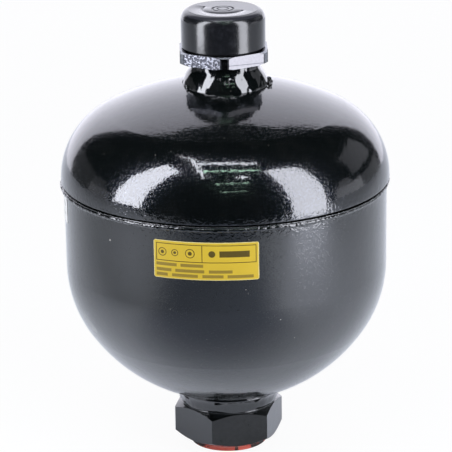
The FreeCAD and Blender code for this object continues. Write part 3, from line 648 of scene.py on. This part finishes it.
capShell = turnProfile("capShell", crown + shoulder + [
    (side, sideEnd), (side - chamfer, rim), (mouth, rim), (mouth, mouthTop),
    (cap["bore"], mouthTop), (cap["bore"], cap["ceiling"]), (0, cap["ceiling"])],
    cap["steps"], cap["smooth"])
radius, half, depth = cap["arc"]
for vertex in capShell.data.vertices:
    turn = math.degrees(math.atan2(vertex.co.y, vertex.co.x)) % 360
    onArc = abs(vertex.co.xy.length / mm - radius) < half and vertex.co.z > 189 * mm
    if onArc and cap["sweep"][0] < turn < cap["sweep"][1]:
        vertex.co.z -= depth * mm

capPlastic = Finish("capPlastic", {
    "Base Color": tone(cap["plastic"]), "Roughness": 0.2, "IOR": 1.65})
capSkin = capPlastic.peel((1.0, 0.010), (3.5, 0.040))
lid = capPlastic.ease(capPlastic.axis("Z"), *cap["lid"])
wear = capPlastic.blotches(*cap["wear"])
ground = capPlastic.mix(wear, *map(tone, cap["wearAndShade"]))
# the lighter top and shoulder are painted sheen
capPlastic.wire(
    base_color=capPlastic.mix(lid * 0.8, ground, tone(cap["dust"])),
    roughness=capPlastic.noise(1.2, 3.0) * 0.08 + 0.15 + lid * 0.12,
    normal=capSkin)
capPlastic.sheen(capSkin)
dress(capShell, capPlastic.material, "cap", "cap_plastic", "protective_cap")
print("cap done")


# valve body: mottled zinc; the hexagon's left flat pitted and darker, its right flat lighter with
# a scratch, its end flats dark: painted light and shade

plating = {
    # the left flat's tones are darker, partly stamped pits and partly painted shade; the lit tones
    # are painted light; the end flats' dark tone is painted shade
    "plain": ("#7E8187", "#B4B7BD"), "blotchedShade": ("#46474D", "#87888F"),
    "lit": ("#757477", "#807F82"), "scratched": "#3E3E42", "shadedEnds": "#141517",
    "hexagon": (0.16824, 0.17344),    # bottom and top
    "flat": (0.0176, 0.0179),         # where a flat starts, from the axis
    "left": 119, "right": 59, "ends": -1,    # turns that bring each flat to +X
    "scratch": (169.6, 60),           # height in the flat's middle, and its slope
    "scratchEdge": (0.16, 0.05),
    "mottle": (1.1, 4.0, 0.6), "pits": (1.0, 2.0, 0.5, 0.42, 0.60),
}
zinc = Finish("zincPlate", {"Base Color": tone("#A9ACB2"), "Metallic": 1.0, "Roughness": 0.15})
collar = between(zinc.axis("Z"), *plating["hexagon"])
leftFace = zinc.ease(zinc.axis("X", plating["left"]), *plating["flat"]) * collar
rightFace = zinc.ease(zinc.axis("X", plating["right"]), *plating["flat"]) * collar
endFaces = zinc.ease(abs(zinc.axis("X", plating["ends"])), *plating["flat"]) * collar
mottle = zinc.noise(*plating["mottle"])
pits = zinc.blotches(*plating["pits"])
high, slope = plating["scratch"]
fromScratch = zinc.axis("Z") * 1000 - high + zinc.axis("Y", plating["right"]) * slope
scratch = zinc.ease(abs(fromScratch), *plating["scratchEdge"])
plain = zinc.mix(zinc.ease(mottle, 0.3, 0.75), *map(tone, plating["plain"]))
blotchedShade = zinc.mix(pits, *map(tone, plating["blotchedShade"]))
lit = zinc.mix(zinc.ease(mottle, 0.3, 0.7), *map(tone, plating["lit"]))
faces = zinc.mix(leftFace, plain, blotchedShade)
faces = zinc.mix(rightFace, faces, zinc.mix(scratch, lit, tone(plating["scratched"])))
# the end flats are painted dark: painted shade
zinc.wire(
    base_color=zinc.mix(endFaces * 0.95, faces, tone(plating["shadedEnds"])),
    metallic=1 - endFaces,
    roughness=mottle * 0.14 + 0.06 + leftFace * 0.10 + rightFace * 0.24 + endFaces * 0.5,
    normal=zinc.bump(pits * leftFace, 0.07, zinc.bump(mottle, 0.012)))
coat(zinc.material, "valve_body")

steel = Finish("bareSteel", {"Base Color": tone("#8E9093"), "Metallic": 1.0, "Roughness": 0.35})
brushed = steel.noise(0.6, 3.0, 0.6, (1, 1, 6))
steel.wire(
    base_color=steel.mix(brushed, tone("#6F7174"), tone("#A9ABAE")),
    roughness=brushed * 0.25 + 0.22,
    normal=steel.bump(brushed, 0.01))
coat(steel.material, "charging_screw", "retaining_ring")
print("metal done")


# threads: ridges that show when the cap or the plug is off

threads = {
    "nippleThread": {"section": [(13.6, 175.3), (14.35, 175.85), (13.6, 176.4)],
                     "pitch": 1.5, "turns": 5, "finish": zinc.material, "slot": "zinc_plating"},
    "portThread": {"section": [(12.4, 7.4), (11.45, 8.2), (12.4, 9.0)],
                   "pitch": 1.814, "turns": 7, "finish": steel.material, "slot": "bare_steel"},
}
for name, thread in threads.items():
    ridge = drawSection(name, thread["section"] + thread["section"][:1])
    bpy.ops.mesh.remove_doubles(threshold=weldGap)
    bpy.ops.object.mode_set(mode="OBJECT")
    winding = ridge.modifiers.new("winding", "SCREW")
    winding.angle = 2 * math.pi
    winding.screw_offset = thread["pitch"] * mm
    winding.iterations = thread["turns"]
    winding.steps = winding.render_steps = 64
    bpy.ops.object.modifier_apply(modifier="winding")
    bpy.ops.object.mode_set(mode="EDIT")
    bpy.ops.mesh.select_all(action="SELECT")
    bpy.ops.mesh.remove_doubles(threshold=weldGap)
    bpy.ops.mesh.fill_holes(sides=0)
    bpy.ops.mesh.select_all(action="SELECT")
    faceOut(35)
    dress(ridge, thread["finish"], "vessel", thread["slot"])
print("threads done")


# rubber and the inner button

rubber = Finish("mouldedRubber", {"Base Color": tone("#17181A"), "Roughness": 0.6})
bloom = rubber.noise(2.0, 5.0, 0.65)
rubber.wire(
    base_color=rubber.mix(rubber.ease(bloom, 0.4, 0.8), tone("#121315"), tone("#2A2B2D")),
    roughness=bloom * 0.3 + 0.45,
    normal=rubber.bump(rubber.noise(0.4, 2.0), 0.01))
coat(rubber.material, "dust_seal", "charging_screw_seal", "valve_body_seal", "diaphragm")

button = Finish("buttonPlastic", {"Base Color": tone("#D8D3C2"), "Roughness": 0.45})
flow = button.noise(3.0, 4.0, 0.6)
button.wire(
    base_color=button.mix(flow, tone("#CFC9B6"), tone("#E4E0D2")),
    roughness=flow * 0.2 + 0.35,
    normal=button.bump(flow, 0.02))
coat(button.material, "closing_button")
print("rubber done")


# transport plug: coral red, sprayed over beside the front, with a pale top edge, partly rubbed
# paint and partly a painted highlight

plug = {
    "red": "#D8604F", "spray": "#26221F", "rubbedHighlight": "#D9B4A8",
    "clear": (-35, 34), "fade": 3, "drift": 26,    # what stayed red, degrees from the front
    "stripe": (8.5, 13.5), "strays": (1.5, 4.0, 0.65),
    "patches": (4.0, 5.0, 0.7, 0.52, 0.62),        # thin places in the spray
    "edge": (1.62, 1.78),                          # the pale band, partly rubbed and partly a painted highlight, starts at this height, mm
}
plugFinish = Finish("plugPlastic", {"Base Color": tone(plug["red"]), "Roughness": 0.38})
angle = plugFinish.around(90) * (180 / math.pi)
around = angle + (plugFinish.noise(*plug["strays"]) - 0.5) * plug["drift"]
opens, ends = [plugFinish.ease(around, turn - plug["fade"], turn + plug["fade"])
               for turn in plug["clear"]]
patches = plugFinish.blotches(*plug["patches"])
sprayed = (1 - opens * (1 - ends)) * (1 - patches * 0.75)
dark = sprayed.largest(between(angle, *plug["stripe"]) * 0.9)
shade = plugFinish.mix(dark, tone(plug["red"]), tone(plug["spray"]))
rubbedHighlight = plugFinish.ease(plugFinish.axis("Z") * 1000, *plug["edge"])
plugFinish.wire(
    base_color=plugFinish.mix(rubbedHighlight * 0.8, shade, tone(plug["rubbedHighlight"])),
    roughness=sprayed * 0.15 + 0.35,
    normal=plugFinish.peel((0.5, 0.005), (3.0, 0.012)))
coat(plugFinish.material, "transport_plug")
print("plug done")


# labels: rings, a disc, a bar and dashes

def dashes(along, rise, rows, tall, left=0.0):  # rows of a height, then starts and ends
    return joined([
        between(along, start + left, stop + left) * between(rise, base, base + tall)
        for base, ends in rows for start, stop in zip(ends[::2], ends[1::2])])


yellow = {
    "angle": -97.1, "radius": 67.46, "width": 42.6, "height": 15.7, "low": 95.176,
    "ground": "#C9AB30", "border": "#E2D69A", "ink": "#2A210E", "faint": "#6E5C28",
    "wearAndShade": "#A08A44", "scuff": (3.0, 5.0, 0.7, 0.5, 0.8),
    "edge": (0.25, 0.2),         # the border's width all round and at the foot
    "frame": (7.2, 14.6), "inset": 1.0, "line": 0.32, "divider": -1.5,
    "rings": [(-17.6, 1.75), (-12.4, 1.45), (-6.2, 1.95)],    # places and radii, mm
    "ringLine": 0.34, "dot": 0.42,
    "disc": (2.6, 1.9),          # place, and radius squared
    "bar": (5.6, 17.6, 1.3),     # ends and half height
    "rows": [(5.2, [0, 8.6, 10.2, 19.4]), (2.9, [0, 6.4, 8.0, 19.8, 21.6, 31.0]),
             (0.9, [0, 4.8, 6.6, 17.2, 19.0, 27.4, 29.0, 39.4])],
    "dash": 1.3,
}
film = Finish("yellowFilm", {"Base Color": tone(yellow["ground"]), "Roughness": 0.35})
across = film.around(-yellow["angle"]) * yellow["radius"]
up = film.axis("Z") * 1000 - yellow["low"]
half, inset, line = yellow["width"] / 2, yellow["inset"], yellow["line"]
low, high = yellow["frame"]
middle = up - (low + high) / 2
side, foot = yellow["edge"]
edge = joined([abs(across) > half - side, up < foot, up > yellow["height"] - side])
outerBox = between(across, inset - half, half - inset) * between(up, low, high)
innerBox = between(across, inset + line - half, half - inset - line) * between(
    up, low + line, high - line)
divider = between(across, yellow["divider"], yellow["divider"] + line) * between(up, low, high)


def ringMark(place, size):  # a ring with a dot, in the middle of the frame
    reach = (across - place) * (across - place) + middle * middle
    inner = (size - yellow["ringLine"]) ** 2
    return between(reach, inner, size ** 2).largest(reach < (size * yellow["dot"]) ** 2)


place, area = yellow["disc"]
disc = (across - place) * (across - place) + middle * middle < area
start, stop, tall = yellow["bar"]
bar = between(across, start, stop) * (abs(middle) < tall)
rings = [ringMark(*ring) for ring in yellow["rings"]]
dark = joined([outerBox - innerBox, divider, disc, bar] + rings)
rows = dashes(across, up, yellow["rows"], yellow["dash"], inset - half)
scuff = film.blotches(*yellow["scuff"])
colour = film.mix(edge * 0.8, tone(yellow["ground"]), tone(yellow["border"]))
colour = film.mix(rows * 0.75, colour, tone(yellow["faint"]))
colour = film.mix(dark * 0.88, colour, tone(yellow["ink"]))
colour = film.mix(scuff * 0.12, colour, tone(yellow["wearAndShade"]))
film.wire(
    base_color=colour,
    roughness=scuff * 0.2 + 0.3,
    normal=film.bump(film.noise(2.0, 2.0), 0.01))
coat(film.material, "yellow_label")

white = {
    "angle": 176, "radius": 67.46, "low": 102.98,
    "ground": "#DADAD6", "wearAndShade": "#A9AAA8", "ink": "#4B4C4E",
    "smudge": (3.0, 4.0, 0.6, 0.45, 0.75),
    "rows": [(6.8, [-18.5, -4.0, -2.0, 18.5]), (2.4, [-18.5, 2.0, 4.5, 18.5])],
    "dash": 1.8,
}
paper = Finish("whiteFilm", {"Base Color": tone("#D6D6D2"), "Roughness": 0.4})
along = paper.around(-white["angle"]) * white["radius"]
rise = paper.axis("Z") * 1000 - white["low"]
rows = dashes(along, rise, white["rows"], white["dash"])
smudge = paper.blotches(*white["smudge"])
ground = paper.mix(smudge * 0.4, tone(white["ground"]), tone(white["wearAndShade"]))
paper.wire(
    base_color=paper.mix(rows * 0.3, ground, tone(white["ink"])),
    roughness=smudge * 0.2 + 0.35,
    normal=paper.bump(smudge, 0.01))
coat(paper.material, "white_label")
print("labels done")


print("scene finished")
